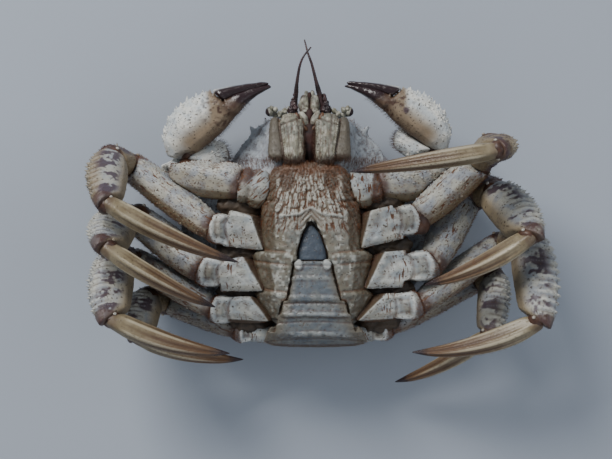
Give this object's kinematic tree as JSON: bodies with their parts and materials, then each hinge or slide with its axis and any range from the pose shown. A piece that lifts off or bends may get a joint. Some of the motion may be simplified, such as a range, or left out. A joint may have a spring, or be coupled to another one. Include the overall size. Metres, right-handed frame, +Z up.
{
  "type": "helmet crab",
  "caption": "Life-size helmet crab lying on its back, legs folded over its pale belly: toothed shell, folded tail flap, spiny claws and long horny leg tips.",
  "frame": {"origin": "where the middle of the back rests on the floor, on the body's midline", "axes": "+Y towards the crab's head, +X towards its own left side, +Z up through its belly, because it lies on its back"},
  "size_m": [0.1467, 0.1103, 0.0604],
  "materials": {
    "shell_back": "granular brown shell of the back",
    "shell_belly": "pale granular shell of the underside",
    "tail_flap": "smooth blue-grey shell",
    "limb": "cream shell with violet patches and small spines",
    "horn": "amber horn with long ridges",
    "dark_tip": "polished dark purple-brown horn",
    "feeler": "dark red-brown ringed feeler",
    "jaw": "cream granular plate",
    "eye": "shiny dark eye"
  },
  "bodies": {
    "root": {"abdomen": "tail_flap", "carapace": "shell_back", "left_antenna": "feeler", "left_claw_carpus": "limb", "left_claw_coxa": "limb", "left_claw_finger": "dark_tip", "left_claw_merus": "limb", "left_claw_palm": "limb", "left_eye": "eye", "left_foot_jaw": "jaw", "left_leg_1_carpus": "limb", "left_leg_1_coxa": "limb", "left_leg_1_dactyl": "horn", "left_leg_1_merus": "limb", "left_leg_1_propodus": "limb", "left_leg_2_carpus": "limb", "left_leg_2_coxa": "limb", "left_leg_2_dactyl": "horn", "left_leg_2_merus": "limb", "left_leg_2_propodus": "limb", "left_leg_3_carpus": "limb", "left_leg_3_coxa": "limb", "left_leg_3_dactyl": "horn", "left_leg_3_merus": "limb", "left_leg_3_propodus": "limb", "left_leg_4_carpus": "limb", "left_leg_4_coxa": "limb", "left_leg_4_dactyl": "horn", "left_leg_4_merus": "limb", "left_leg_4_propodus": "limb", "right_antenna": "feeler", "right_claw_carpus": "limb", "right_claw_coxa": "limb", "right_claw_finger": "dark_tip", "right_claw_merus": "limb", "right_claw_palm": "limb", "right_eye": "eye", "right_foot_jaw": "jaw", "right_leg_1_carpus": "limb", "right_leg_1_coxa": "limb", "right_leg_1_dactyl": "horn", "right_leg_1_merus": "limb", "right_leg_1_propodus": "limb", "right_leg_2_carpus": "limb", "right_leg_2_coxa": "limb", "right_leg_2_dactyl": "horn", "right_leg_2_merus": "limb", "right_leg_2_propodus": "limb", "right_leg_3_carpus": "limb", "right_leg_3_coxa": "limb", "right_leg_3_dactyl": "horn", "right_leg_3_merus": "limb", "right_leg_3_propodus": "limb", "right_leg_4_carpus": "limb", "right_leg_4_coxa": "limb", "right_leg_4_dactyl": "horn", "right_leg_4_merus": "limb", "right_leg_4_propodus": "limb", "sternum": "shell_belly", "telson": "tail_flap"}
  },
  "joints": []
}
